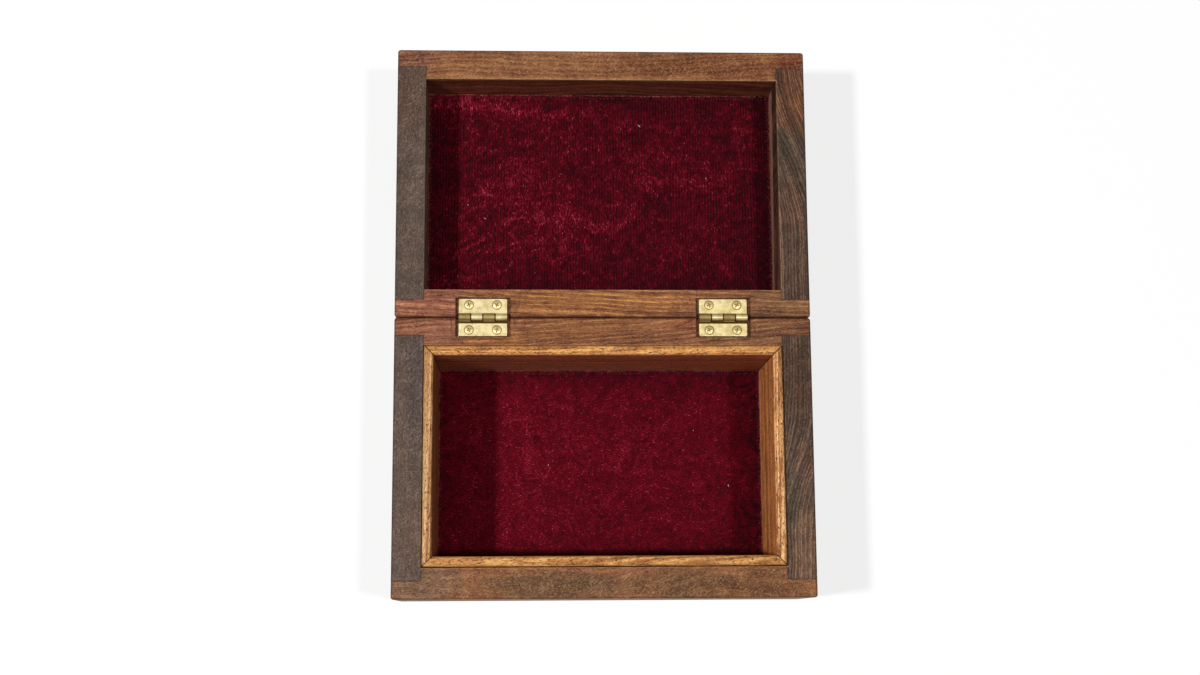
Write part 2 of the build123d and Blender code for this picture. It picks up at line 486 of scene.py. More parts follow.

# Piece of wood, with lengths in mm
# node: the piece of the construction
# along: axis of its length
# heart: place of the tree's middle, across and above the middle of the piece
# slope: how far the grain runs sideways for each mm along the piece
# wave: how far the grain wanders
# mottle: share of curly grain, which only the rim shows, because it is cut across the curls
# rays: share of the light lines that break up into short marks
# veins: how strongly long dark veins show
# seed: keeps pieces from looking alike
# sweep: how far the grain swings over, and the two places along the piece between which it does
# inside: tint of the face that looks into the box, which paints shade and reddish light thrown back by
# the velvet
# patches: its patches of other tints
Board = namedtuple(
    "Board", "node along heart slope wave mottle rays veins seed sweep inside patches",
    defaults=((0, 0, 1), (1, 1, 1), ()),
)

# Mark on a piece: the function that says where it lies, its tint and its strength from 0 to 1
Mark = namedtuple("Mark", "mask tint strength")

# Run of the grain at each point: place along the board, places across and above the tree's
# straightened middle line, and distance from the tree's middle, in mm
Grain = namedtuple("Grain", "far bent up radius")

# Depth below the rim, in mm, down to which the rim's own figure and its lighter edge, partly wear and
# partly a painted highlight, show
RIM_FIGURE = 1.2

LEFT_BOARDS = (
    Board(
        "base_left_board", along="Y", heart=(-40, -10), slope=0.02, wave=3,
        mottle=0.9, rays=0.15, veins=0.1, seed=3,
        patches=(
            Patch(-28, -68, 24, 4, (0.80, 0.82, 0.98)),
            Patch(-78, -68, 16, 5, (1.25, 1.12, 1.10)),
            Patch(-50, -73, 30, 3, (1.1, 1.1, 1.05)),
        ),
    ),
    Board(
        "lid_left_board", along="Y", heart=(-35, 5), slope=0.03, sweep=(-3, 45, 10), wave=3,
        mottle=0.8, rays=0.1, veins=0.1, inside=(1, 0.9, 0.8), seed=11,
        patches=(
            Patch(85, -71, 16, 9, (0.90, 0.76, 0.70)),
            Patch(22, -71, 20, 9, (0.96, 0.97, 0.97)),
            Patch(58, -73, 7, 4, (0.75, 0.75, 0.78)),
        ),
    ),
)
RIGHT_BOARDS = (
    Board(
        "base_right_board", along="Y", heart=(48, -6), slope=0.03, sweep=(-9, -35, -75), wave=3.5,
        mottle=0.3, rays=0.7, veins=0.1, seed=7,
        patches=(
            Patch(-88, 72, 18, 9, (1.70, 1.58, 1.35)),
            Patch(-66, 67, 15, 3.5, (0.85, 0.98, 0.92)),
            Patch(-55, 73, 9, 3, (1.35, 1.2, 1.1)),
            Patch(-22, 71, 20, 8, (0.64, 0.54, 0.45)),
        ),
    ),
    Board(
        "lid_right_board", along="Y", heart=(44, -4), slope=0.0, sweep=(17, 98, 34), wave=4,
        mottle=0.25, rays=0.6, veins=0.1, inside=(0.60, 0.44, 0.47), seed=17,
        patches=(
            Patch(84, 72, 15, 8, (1.55, 1.04, 0.70)),
            Patch(66, 68, 7, 3.5, (0.65, 0.74, 0.68)),
            Patch(55, 74, 7, 3.5, (0.7, 0.8, 0.72)),
            Patch(42, 71, 12, 6, (1.2, 1.0, 0.9)),
            Patch(15, 71, 14, 9, (0.90, 0.86, 0.80)),
            Patch(20, 65, 26, 1.8, (1.55, 1.45, 1.35)),
        ),
    ),
)
LONG_BOARDS = (
    Board(
        "base_back_board", along="X", heart=(-22, 6), slope=0.09, sweep=(-3, -70, -20), wave=2.5,
        mottle=0.1, rays=0.15, veins=0.9, inside=(1, 0.9, 0.9), seed=23,
        patches=(
            Patch(-64, -5, 18, 8, (1.0, 0.97, 1.3)),
            Patch(-10, -6, 30, 6, (0.93, 0.90, 0.80)),
            Patch(62, -4, 26, 9, (0.80, 0.84, 0.86)),
            Patch(-40, -9, 12, 2, (1.2, 1.12, 0.9)),
            Patch(38, -3, 16, 3, (1.1, 0.95, 0.95)),
        ),
    ),
    Board(
        "lid_back_board", along="X", heart=(20, 5), slope=-0.06, sweep=(2, -10, 70), wave=2.5,
        mottle=0.1, rays=0.15, veins=0.9, inside=(1, 0.9, 0.9), seed=29,
        patches=(
            Patch(-66, 5, 16, 8, (1.3, 1.25, 1.75)),
            Patch(-2, 6, 38, 6, (1.4, 1.45, 1.16)),
            Patch(70, 5, 20, 8, (0.90, 1.06, 1.12)),
        ),
    ),
    Board(
        "base_front_board", along="X", heart=(-25, -20), slope=-0.05, sweep=(12, -5, 45), wave=4,
        mottle=0.5, rays=0.3, veins=0.3, inside=(1, 0.9, 0.9), seed=31,
        patches=(
            Patch(-66, -96, 16, 9, (0.70, 0.93, 1.27)),
            Patch(-18, -97, 30, 5, (0.47, 0.57, 0.60)),
            Patch(28, -97, 18, 6, (0.50, 0.55, 0.52)),
            Patch(58, -96, 16, 7, (0.56, 0.53, 0.44)),
        ),
    ),
    Board(
        "lid_front_board", along="X", heart=(35, -12), slope=0.05, sweep=(-4, -60, 10), wave=4,
        mottle=0.5, rays=0.25, veins=0.3, inside=(0.72, 0.50, 0.66), seed=37,
        patches=(
            Patch(-70, 99, 12, 5, (0.72, 0.69, 0.93)),
            Patch(-22, 97, 28, 5, (0.92, 0.98, 0.92)),
            Patch(18, 97, 20, 6, (0.74, 0.68, 0.65)),
            Patch(46, 96, 34, 6, (0.70, 0.57, 0.47)),
            Patch(73, 98, 6, 7, (0.7, 0.5, 0.5)),
        ),
    ),
)
PANELS = (
    Board(
        "base_bottom_panel", along="X", heart=(-20, -45), slope=0.03, sweep=(8, -50, 40), wave=9,
        mottle=0.15, rays=0.2, veins=0.7, seed=41,
    ),
    Board(
        "lid_top_panel", along="X", heart=(12, 40), slope=0.04, sweep=(-10, -30, 60), wave=12,
        mottle=0.15, rays=0.2, veins=0.7, seed=43,
    ),
)
LINERS = (
    Board(
        "base_liner_front", along="X", heart=(20, -30), slope=0.12, wave=1.5,
        mottle=0.2, rays=0.3, veins=0.4, inside=(1, 0.8, 0.8), seed=47,
        patches=(
            Patch(0, -88.5, 80, 4, (0.96, 0.92, 0.78)),
        ),
    ),
    Board(
        "base_liner_back", along="X", heart=(-22, -26), slope=0.03, wave=1.5,
        mottle=0.2, rays=0.3, veins=0.4, inside=(0.60, 0.38, 0.58), seed=53,
        patches=(
            Patch(0, -12.5, 80, 4, (1.36, 1.42, 1.34)),
        ),
    ),
    Board(
        "base_liner_left", along="Y", heart=(24, -22), slope=0.03, wave=1.2,
        mottle=0.2, rays=0.3, veins=0.4, inside=(0.52, 0.32, 0.26), seed=59,
        patches=(
            Patch(-50, -63.5, 60, 6, (0.86, 0.93, 1.10)),
        ),
    ),
    Board(
        "base_liner_right", along="Y", heart=(-30, -28), slope=0.02, wave=1.2,
        mottle=0.15, rays=0.3, veins=1.0, inside=(1.0, 0.78, 0.62), seed=61,
        patches=(
            Patch(-50, 63.5, 60, 4, (1.25, 1.35, 1.6)),
        ),
    ),
)


def board_axes(shade, board):
    """Places along and across a board, in millimetres."""
    return (shade.x, shade.y) if board.along == "X" else (shade.y, shade.x)


def run_of_grain(shade, board):
    """Where each point of a board lay in the tree."""
    along, across = board_axes(shade, board)
    low, high = extent(board.node)
    middle = (low + high) / 2
    across = across - (middle.y if board.along == "X" else middle.x)
    up = shade.z - middle.z
    far = along + board.seed * 100
    swing, start, end = board.sweep
    wander = (shade.noise(far / 30, across / 14, up / 14, detail=2) - 0.5) * board.wave
    rise = (shade.noise(far / 45 + 9, across / 20, up / 20, detail=1) - 0.5) * board.wave
    bent = across - along * board.slope - along.fade(start, end) * swing + wander
    bent_up = up + rise
    return Grain(far, bent, bent_up, diagonal(bent - board.heart[0], bent_up - board.heart[1]))


def drawn_out(shade, grain, length, fineness, **settings):
    """Noise drawn out along the grain: features of a length in mm, and so many per mm across."""
    across, up = grain.bent * fineness, grain.up * fineness
    return shade.noise(grain.far / length, across, up, **settings)


def inside_face(shade, board):
    """1 on the face of a board that looks into the box, below its rim."""
    low, high = extent(board.node)
    _, across = board_axes(shade, board)
    if board.along == "X":
        edges, middle = (low.y, high.y), math.copysign(CASE_HIGH.y / 2, low.y + high.y)
    else:
        edges, middle = (low.x, high.x), 0.0
    inner = min(edges, key=lambda edge: abs(edge - middle))
    return abs(across - inner).fade(0.5, 0.15) * shade.z.fade(high.z - 0.2, high.z - 0.8)


def tinted(shade, board, figure):
    """The figure with the board's patches of other tints, and painted shade on its inner face."""
    along, across = board_axes(shade, board)
    ragged = (shade.grit(4.5, detail=3, roughness=0.6) - 0.5) * 1.8
    for patch in board.patches:
        from_middle = squared((along - patch.along) / patch.length)
        from_middle = from_middle + squared((across - patch.across) / patch.width)
        spot = shade.mix((from_middle + ragged).fade(1.5, 0.1), (1, 1, 1), patch.tint)
        figure = shade.mix(1.0, figure, spot, "MULTIPLY")
    # Painted shade and reddish bounced light on the face that looks into the box
    inside = shade.mix(inside_face(shade, board), (1, 1, 1), board.inside)
    return shade.mix(1.0, figure, inside, "MULTIPLY")


def growth_rings(shade, board, grain, spacing):
    """Soft rings, and the dark and light lines between them, broken up along the grain."""
    broken = drawn_out(shade, grain, 5, 1.1, detail=3, roughness=0.65)
    beads = shade.noise(grain.far * 1.5, grain.bent * 0.5, grain.up * 0.5, detail=1).fade(0.36, 0.56)
    turns = grain.radius / spacing
    rings = shade.bands(turns / 3 + board.seed, detail=2)
    uneven = shade.bands(turns / 3 + board.seed * 2, detail=1) * 2
    wave = shade.math("SINE", (turns + uneven + broken * 0.5) * (2 * math.pi))
    cluster = shade.bands(turns / 5 + board.seed * 3, detail=1.5)
    dark_lines = wave.fade(0.0, -0.9) * broken.fade(0.30, 0.52) * cluster.fade(0.75, 0.40)
    light_lines = wave.fade(0.3, 1.0) * broken.fade(0.66, 0.42) * cluster.fade(0.28, 0.5)
    return rings, dark_lines, light_lines * (beads * board.rays + (1 - board.rays))


def long_veins(shade, grain):
    """1 in thin veins that run along the board and now and then close into loops."""
    contour = drawn_out(shade, grain, 45, 0.42, detail=2, roughness=0.45)
    return abs(contour - 0.5).fade(0.035, 0.004).most(abs(contour - 0.62).fade(0.03, 0.004))


def light_figure(shade, grain, curly, cloud):
    """Pale flecks, and in curly wood small curls and slanted strokes."""
    flecks = shade.noise(grain.far / 0.8 + 70, grain.bent * 2.6, grain.up * 2.6, detail=2)
    flecks = flecks.fade(0.58, 0.74) * (curly * 0.2 + 0.35)
    curls = abs(shade.grit(1.6, detail=2, roughness=0.55) - 0.5).fade(0.05, 0.0)
    curls = curls * shade.grit(0.9, detail=1).fade(0.40, 0.60)
    rising, falling = grain.far + grain.bent, grain.far - grain.bent
    slanted = shade.noise(rising * 0.35, falling * 2.4, grain.up * 2.0, detail=1)
    strokes = slanted.fade(0.58, 0.67) * cloud.fade(0.44, 0.58)
    return flecks.most(curls * curly * 0.5).most(strokes * curly * 0.7)


def wood(board, look, marks=()):
    """A material with the figure of one piece of wood, and darker or lighter marks on it."""
    shade = Shade(board.node)
    grain = run_of_grain(shade, board)
    rings, dark_lines, light_lines = growth_rings(shade, board, grain, look.rings / MILLIMETRE)
    rim = shade.z.fade(RIM - RIM_FIGURE, RIM - RIM_FIGURE / 3)
    curly = rim * board.mottle
    straight = (1 - curly * 0.9) * look.contrast
    fibre = drawn_out(shade, grain, 4, 3.2, detail=3, roughness=0.75)
    speckle = shade.grit(0.38, detail=2, roughness=0.75)
    cloud = shade.grit(6, detail=2, roughness=0.55)
    tone = (
        (rings - 0.5) * straight * 0.9
        - dark_lines * straight * 0.45
        + light_lines * straight * 0.55
        - long_veins(shade, grain) * straight * (0.42 * board.veins)
        + (fibre - 0.5) * (straight * 0.6 + curly * 0.3 + 0.45)
        + (speckle - 0.5) * (curly * 0.25 + 0.3)
        + (cloud - 0.5) * (rim * 0.2 + 0.3)
        + 0.5
    )
    figure = shade.ramp(tone, (0.1, look.dark), (0.5, look.body), (0.9, look.light))
    figure = tinted(shade, board, figure)
    pores = drawn_out(shade, grain, 1.1, 3.2, detail=1.5).fade(0.56, 0.66)
    figure = shade.mix(pores * look.pores, figure, dimmed(look.dark, 0.6))
    figure = shade.mix(light_figure(shade, grain, curly, cloud), figure, look.fleck)
    for mark in marks:
        figure = shade.mix(mark.mask(shade) * mark.strength, figure, mark.tint)
    height = fibre * 0.3 + speckle * 0.3 - dark_lines * 0.15 - pores * 0.45
    return shade.surface(
        Base_Color=figure,
        Roughness=(fibre - 0.5) * 0.25 + pores * 0.12 + look.roughness,
        Normal=shade.bump(height, 0.00016),
        Specular_IOR_Level=0.15,
    )


def outer_edges(shade, outside_height):
    """1 along the outer edges of the base or the lid, where shade is painted on the rounded edges."""
    rub = shade.grit(3, detail=3) * 0.7
    to_side = CASE_HIGH.x - abs(shade.x)
    to_front = (CASE_HIGH.y - abs(shade.y)).least(abs(shade.y) - SEAM)
    to_face = (RIM - shade.z).least(shade.z - outside_height)
    second = to_side.least(to_front).most(to_side.most(to_front).least(to_face))
    return (second + rub).fade(1.25, 0.35)


def inner_rim(shade):
    """1 along the inner edge of the rim, where the arris is lighter: partly wear, partly a painted
    highlight on its rounded edge.
    """
    near = extent("lid_back_board")[1].y
    far = extent("lid_front_board")[0].y
    sideways = abs(shade.x) - OPENING_SIDE
    endways = (near - abs(shade.y)).most(abs(shade.y) - far)
    rub = shade.grit(2, detail=3, roughness=0.6) * 0.9
    return (sideways.most(endways) + rub).fade(0.95, 0.35) * shade.z.fade(RIM - RIM_FIGURE, RIM - 0.5)


def joint_lines(shade):
    """1 in the uneven glue lines of the rabbeted corners."""
    shoulder_end = 1.6 * TONGUE
    inwards = (abs(shade.y) - SEAM).least(CASE_HIGH.y - abs(shade.y))
    sideways = abs(shade.x) - OPENING_SIDE
    end_leg = abs(inwards - TONGUE).most(-sideways)
    shoulder_leg = abs(sideways).most(TONGUE - inwards).most(inwards - shoulder_end)
    rub = shade.grit(1.2, detail=2) * 0.45
    return (end_leg.least(shoulder_leg) + rub).fade(0.6, 0.2)


def mortise_shade_and_stain(shade):
    """1 in the hinge mortises, where shade is painted in the recess, fading out into a stain on the wood
    round them.
    """
    from_hinge = hinge_distance(shade)
    rough = shade.grit(0.9, detail=3, roughness=0.6) - 0.5
    sideways = (from_hinge + rough * 1.6).fade(HINGE_HALF + 1.7, HINGE_HALF + 0.7)
    endways = (abs(shade.y) + rough * 1.0).fade(HINGE_REACH + 0.65, HINGE_REACH + 0.2)
    return sideways * endways * shade.z.fade(LEAF_LOW.z - 1.5, LEAF_LOW.z - 0.2)


def sapwood(shade):
    """1 in the strip of pale sapwood low on the inside of the lid's right board."""
    low, high = extent("lid_right_board")
    floor = extent("lid_velvet")[1].z
    width = shade.y.fade(low.y - 20, high.y) * 6 + 1.5 + (shade.grit(5, detail=2) - 0.5) * 4
    streaks = shade.noise(shade.y / 8, shade.x, shade.z * 1.6, detail=3, roughness=0.6)
    inside = shade.x.fade(OPENING_SIDE + 0.8, OPENING_SIDE + 0.3)
    strip = (shade.z - width + (streaks - 0.5) * 4).fade(floor + 1.6, floor - 0.6)
    return strip * inside * streaks.fade(0.22, 0.55)


def scribed_lines(shade):
    """1 in the knife lines left beside the mortises when the hinges were marked out."""
    from_hinge = hinge_distance(shade)
    waver = (shade.grit(4, detail=1) - 0.5) * 0.8
    broken = shade.grit(2.5, detail=2).fade(0.42, 0.6)
    line = abs(from_hinge + waver - (HINGE_HALF + 2.7)).fade(0.3, 0.08)
    reach = abs(shade.y).fade(HINGE_REACH - 0.8, HINGE_REACH - 1.6)
    return line * broken * reach * shade.z.fade(RIM - 0.4, RIM)


def base_edges(shade):
    return outer_edges(shade, CASE_LOW.z)


def lid_edges(shade):
    return outer_edges(shade, LID_OUTSIDE)


def case_marks(node, look):
    """Marks that the boards of the base or the lid share."""
    edges = base_edges if node.startswith("base") else lid_edges
    # Dark colour of the glue lines, and of the shade painted along the outer edges
    glue_and_edge_shade = dimmed(look.dark, 0.6)
    return (
        Mark(edges, glue_and_edge_shade, strength=0.75),
        # Lighter inner arris: wear and a painted highlight
        Mark(inner_rim, look.fleck, strength=0.5),
        Mark(joint_lines, glue_and_edge_shade, strength=0.7),
    )


class FinishSideBoards(bpy.types.Operator):
    """Finish the four side boards"""

    bl_idname = "jewellery_box.finish_side_boards"
    bl_label = "Finish side boards"

    def execute(self, context):
        looks = context.scene.jewellery_box
        for boards, look in ((LEFT_BOARDS, looks.left_wood), (RIGHT_BOARDS, looks.right_wood)):
            for board in boards:
                marks = case_marks(board.node, look)
                if board.node == "lid_right_board":
                    marks = (Mark(sapwood, looks.sapwood, strength=0.6), *marks)
                finish_node(board.node, wood(board, look, marks))
        return {"FINISHED"}


class FinishLongBoards(bpy.types.Operator):
    """Finish the front and back boards, with darkened mortises for the hinges: painted shade in the
    recesses and a stain round them
    """

    bl_idname = "jewellery_box.finish_long_boards"
    bl_label = "Finish front and back boards"

    def execute(self, context):
        look = context.scene.jewellery_box.long_wood
        # Dark colour of the scribed lines, and of the shade painted in the mortises and the stain round
        # them
        stain = dimmed(look.dark, 0.8)
        for board in LONG_BOARDS:
            marks = case_marks(board.node, look)
            if "back" in board.node:
                marks += (Mark(mortise_shade_and_stain, stain, strength=0.7),)
                marks += (Mark(scribed_lines, stain, strength=0.6),)
            finish_node(board.node, wood(board, look, marks))
        return {"FINISHED"}


class FinishPanels(bpy.types.Operator):
    """Finish the bottom of the base and the top of the lid"""

    bl_idname = "jewellery_box.finish_panels"
    bl_label = "Finish panels"

    def execute(self, context):
        look = context.scene.jewellery_box.panel_wood
        for board in PANELS:
            finish_node(board.node, wood(board, look))
        return {"FINISHED"}


def liner_inset(shade):
    """How far in from the outer faces of the liner, towards the sides and the ends."""
    middle = (LINER_LOW.y + LINER_HIGH.y) / 2
    to_side = LINER_HIGH.x - abs(shade.x)
    to_end = (LINER_HIGH.y - middle) - abs(shade.y - middle)
    return to_side, to_end


def mitre_lines(shade):
    """1 in the glue lines of the liner's mitred corners."""
    to_side, to_end = liner_inset(shade)
    rub = shade.grit(0.8, detail=2) * 0.5
    return (abs(to_side - to_end) + rub).fade(0.75, 0.25)


def liner_foot(shade):
    """1 low on the outer face of the liner, where it goes down behind the rim: painted shade in the gap
    there.
    """
    to_side, to_end = liner_inset(shade)
    rub = shade.grit(1.1, detail=3) * 0.8
    return (to_side.least(to_end) + rub).fade(1.0, 0.3) * (shade.z + rub).fade(RIM + 1.6, RIM + 0.5)


class FinishLiner(bpy.types.Operator):
    """Finish the four liner strips of the base"""

    bl_idname = "jewellery_box.finish_liner"
    bl_label = "Finish liner"

    def execute(self, context):
        look = context.scene.jewellery_box.liner_wood
        # Dark colour of the mitre glue lines, and of the shade painted in the gap at the liner's foot
        glue = dimmed(look.dark, 0.25)
        marks = Mark(mitre_lines, glue, strength=0.85), Mark(liner_foot, glue, strength=0.8)
        for board in LINERS:
            finish_node(board.node, wood(board, look, marks))
        return {"FINISHED"}


# Card

def card_rim(shade):
    """1 along the edges of both cards, where glue and red fluff have stained them."""
    to_rim = OPENING_SIDE - abs(shade.x)
    for name in ("base_velvet_card", "lid_velvet_card"):
        low, high = extent(name)
        inside = (high.y - low.y) / 2 - abs(shade.y - (low.y + high.y) / 2)
        inside = inside.least(high.x - abs(shade.x))
        to_rim = to_rim.least(abs(inside))
    return to_rim.fade(1.6, 0.8)


class FinishCards(bpy.types.Operator):
    """Finish the cards that carry the velvet"""

    bl_idname = "jewellery_box.finish_cards"
    bl_label = "Finish cards"

    def execute(self, context):
        look = context.scene.jewellery_box.card
        shade = Shade("pressed_card")
        pulp = shade.grit(0.8, detail=4, roughness=0.7)
        flecks = shade.noise(shade.x * 1.5, shade.y / 1.5, shade.z * 2).fade(0.62, 0.72)
        tint = shade.ramp(pulp, (0.3, look.dark), (0.7, look.light))
        tint = shade.mix(flecks * 0.5, tint, look.fleck)
        tint = shade.mix(card_rim(shade) * 0.9, tint, look.stain)
        material = shade.surface(
            Base_Color=tint, Roughness=pulp * 0.2 + 0.75, Normal=shade.bump(pulp, 0.00008),
            Specular_IOR_Level=0.2,
        )
        for name in ("base_velvet_card", "lid_velvet_card"):
            finish_node(name, material)
        return {"FINISHED"}


# Velvet

# How much the pile is pressed flat at the walls, which also paints shade along them, and how far that
# reaches inwards, in mm
WALL_PRESS_AND_SHADE, WALL_REACH = 0.34, 6

# Share of its own thickness that the velvet may be pressed by
DEEPEST_PRESS = 0.7

# Sides of a thread's tube, thickness of its ends as a share of its middle, and bends of a thread
THREAD_SIDES, THREAD_TAPER, THREAD_BENDS = 3, 0.45, 3

# Sheet of velvet: the body that it rides on, the function of its crush marks and painted light, whether
# it is ribbed, how far its pile leans towards the light, and the seed of its loose threads
Sheet = namedtuple("Sheet", "body crush ribbed level seed")


def soft_noise(x, y, size, seed):
    """Smooth noise from 0 to 1 over arrays of places, with features of about that size."""
    cells = 256
    lattice = np.random.default_rng(seed).random((cells, cells))
    u, v = x / size + seed, y / size + seed
    i, j = np.floor(u).astype(int), np.floor(v).astype(int)
    s, t = u - i, v - j
    s, t = s * s * (3 - 2 * s), t * t * (3 - 2 * t)
    near = lattice[i % cells, j % cells] * (1 - s) + lattice[(i + 1) % cells, j % cells] * s
    far = lattice[i % cells, (j + 1) % cells] * (1 - s) + lattice[(i + 1) % cells, (j + 1) % cells] * s
    return near * (1 - t) + far * t


def folded(noise, sharpness):
    """Turns smooth noise into narrow lines where it crosses its middle."""
    return np.clip(1 - np.abs(2 * noise - 1) * sharpness, 0, 1)


def base_crush_and_light_falloff(x, y):
    """Crush marks of the base's velvet: soft mottled patches, with light painted to fall off from left
    to right.
    """
    warp_x = x + (soft_noise(x, y, 9, 5) - 0.5) * 8
    warp_y = y + (soft_noise(x, y, 9, 6) - 0.5) * 8
    patches = soft_noise(warp_x, warp_y * 1.3, 9, 7)
    mottle = soft_noise(warp_x, warp_y, 3.2, 8)
    small_mottle = soft_noise(warp_x, warp_y, 1.4, 10)
    creases = folded(soft_noise(warp_x * 0.5, warp_y, 7, 9), 6)
    lean = 0.10 * patches + 0.14 * mottle + 0.30 * small_mottle + 0.05 * creases
    # Painted fall of light from the left to the right
    return lean + 0.25 - 0.0012 * x


def far_band(x, y, warp_y, low, high):
    """Lit band at the far left of the lid's velvet, from a bright crest back to the far wall."""
    sideways = (x - low.x) / (high.x - low.x)
    beyond = 0.35 * warp_y + 0.65 * y - (high.y - 4.2 - 12 * sideways)
    step = np.clip(beyond / 1.4 + 0.5, 0, 1)
    crest = np.exp(-np.square(beyond / 0.9))
    left_half = np.clip((0.5 - sideways) / 0.25, 0, 1)
    return (step + 0.5 * crest) * (left_half * (0.5 + soft_noise(x, y, 8, 21)))


def lid_crush_and_light_falloff(x, y):
    """Crush marks of the lid's velvet: patches, wavy creases, a lit band at the far left, less painted
    wall shade along the far wall, and light painted to fall off from left to right.
    """
    warp_x = x + (soft_noise(x, y, 12, 15) - 0.5) * 10
    warp_y = y + (soft_noise(x, y, 14, 16) - 0.5) * 9
    patches = soft_noise(warp_x * 0.7, warp_y, 10, 17)
    mottle = soft_noise(warp_x, warp_y, 2.6, 18)
    creases = folded(soft_noise(warp_x * 0.28, warp_y, 9, 19), 7)
    small_creases = folded(soft_noise(warp_x * 0.35, warp_y, 4.5, 20), 6)
    small_mottle = soft_noise(warp_x, warp_y, 1.2, 22)
    low, high = extent("lid_velvet")
    lean = 0.20 * patches + 0.22 * mottle + 0.24 * small_mottle
    lean += 0.14 * creases + 0.10 * small_creases + 0.20 * far_band(x, y, warp_y, low, high)
    # Less of the painted wall shade along the far wall
    lean += 0.12 * np.exp((y - high.y) / WALL_REACH)
    # Painted fall of light from the left to the right
    return lean + 0.11 - 0.0009 * x


def turned_edge(x, y, low, high, look):
    """How far the cloth turns up along its four edges, from 0 to 1, and how high."""
    width = look.edge_width / MILLIMETRE * (0.5 + soft_noise(x, y, 1.3, 36))
    far = np.clip(1 - (high.y - y) / width, 0, 1)
    inward = np.minimum.reduce([x - low.x, high.x - x, y - low.y])
    other = np.clip(1 - inward / width, 0, 1)
    rise = look.edge_rise / MILLIMETRE * (0.4 + 1.2 * soft_noise(x, y, 3.5, 37))
    return np.maximum(far, other), rise * np.maximum(far, 0.3 * other)


def velvet_height(x, y, low, high, lean, ribbed, look):
    """Height of the velvet's surface, in millimetres."""
    pile = (soft_noise(x, y, 0.7, 33) - 0.5) * 0.10 + (soft_noise(x, y, 1.6, 34) - 0.5) * 0.08
    depth = look.crush / MILLIMETRE * (1 - lean) + pile
    if ribbed:
        rib = np.sin(2 * math.pi * x / (look.rib_pitch / MILLIMETRE) + 2 * soft_noise(x, y, 6, 35))
        depth += (look.rib_depth / MILLIMETRE) * (1 + rib)
    turned, rise = turned_edge(x, y, low, high, look)
    deepest = DEEPEST_PRESS * (high.z - low.z)
    return high.z - np.clip(depth, 0, deepest) * (1 - turned) + rise


def grid_mesh(name, x, y, z, **values):
    """A mesh over a grid of points in millimetres, with values stored at each point."""
    rows, columns = z.shape
    points = np.stack([x, y, z], axis=-1).reshape(-1, 3) * MILLIMETRE
    corner = np.arange(rows * columns).reshape(rows, columns)
    quads = [corner[:-1, :-1], corner[:-1, 1:], corner[1:, 1:], corner[1:, :-1]]
    faces = np.stack(quads, axis=-1).reshape(-1, 4)
    mesh = bpy.data.meshes.new(name)
    mesh.from_pydata(points.tolist(), [], faces.tolist())
    mesh.shade_smooth()
    for value_name, value in values.items():
        attribute = mesh.attributes.new(value_name, "FLOAT", "POINT")
        attribute.data.foreach_set("value", value.astype(np.float32).ravel())
    return mesh


def velvet_cloth(node, sheet, look):
    """The velvet sheet that lies where a node of the construction is."""
    low, high = extent(node)
    reach = Vector((1, 1, 0)) * look.edge_reach / MILLIMETRE
    low, high = low - reach, high + reach
    columns = round((high.x - low.x) * MILLIMETRE / look.step) + 1
    rows = round((high.y - low.y) * MILLIMETRE / look.step) + 1
    x, y = np.meshgrid(np.linspace(low.x, high.x, columns), np.linspace(low.y, high.y, rows))
    to_wall = np.minimum.reduce([x - low.x, high.x - x, y - low.y, high.y - y])
    # Pressed deeper and darker along the walls: the darkening is painted shade
    lean = np.clip(sheet.crush(x, y) - WALL_PRESS_AND_SHADE * np.exp(-to_wall / WALL_REACH), 0, 1)
    z = velvet_height(x, y, low, high, lean, sheet.ribbed, look)
    turned, _ = turned_edge(x, y, low, high, look)
    mesh = grid_mesh(node + "_cloth", x, y, z, pile_lean=lean, turned_edge=turned)
    cloth = bpy.data.objects.new(node + "_cloth", mesh)
    bpy.context.scene.collection.objects.link(cloth)
    return cloth


def pile_fibres(shade, ribbed):
    """Noise of single fibres and of bundles of them; in ribbed velvet both run along the ribs."""
    x, y, z = shade.x, shade.y, shade.z
    if ribbed:
        fibres = shade.noise(x * 3.0, y / 1.8, z, detail=2, roughness=0.75)
        return fibres, shade.noise(x * 2.8, y * 0.9, z, detail=1)
    fibres = shade.noise(x * 1.2, y * 3.2, z, detail=2, roughness=0.75)
    return fibres, shade.noise(x * 0.8, y * 2.8, z, detail=1)


def fine_ribs(shade, look):
    """Lighter and darker lines of ribbed velvet, which fade in and out."""
    pitch = look.rib_pitch / MILLIMETRE
    waver = shade.noise(shade.x / 8, shade.y / 25, 0, detail=1) * 3
    rib = shade.math("SINE", shade.x * (2 * math.pi / pitch) + waver)
    return rib * shade.grit(9, detail=1).fade(0.25, 0.6) * 0.13


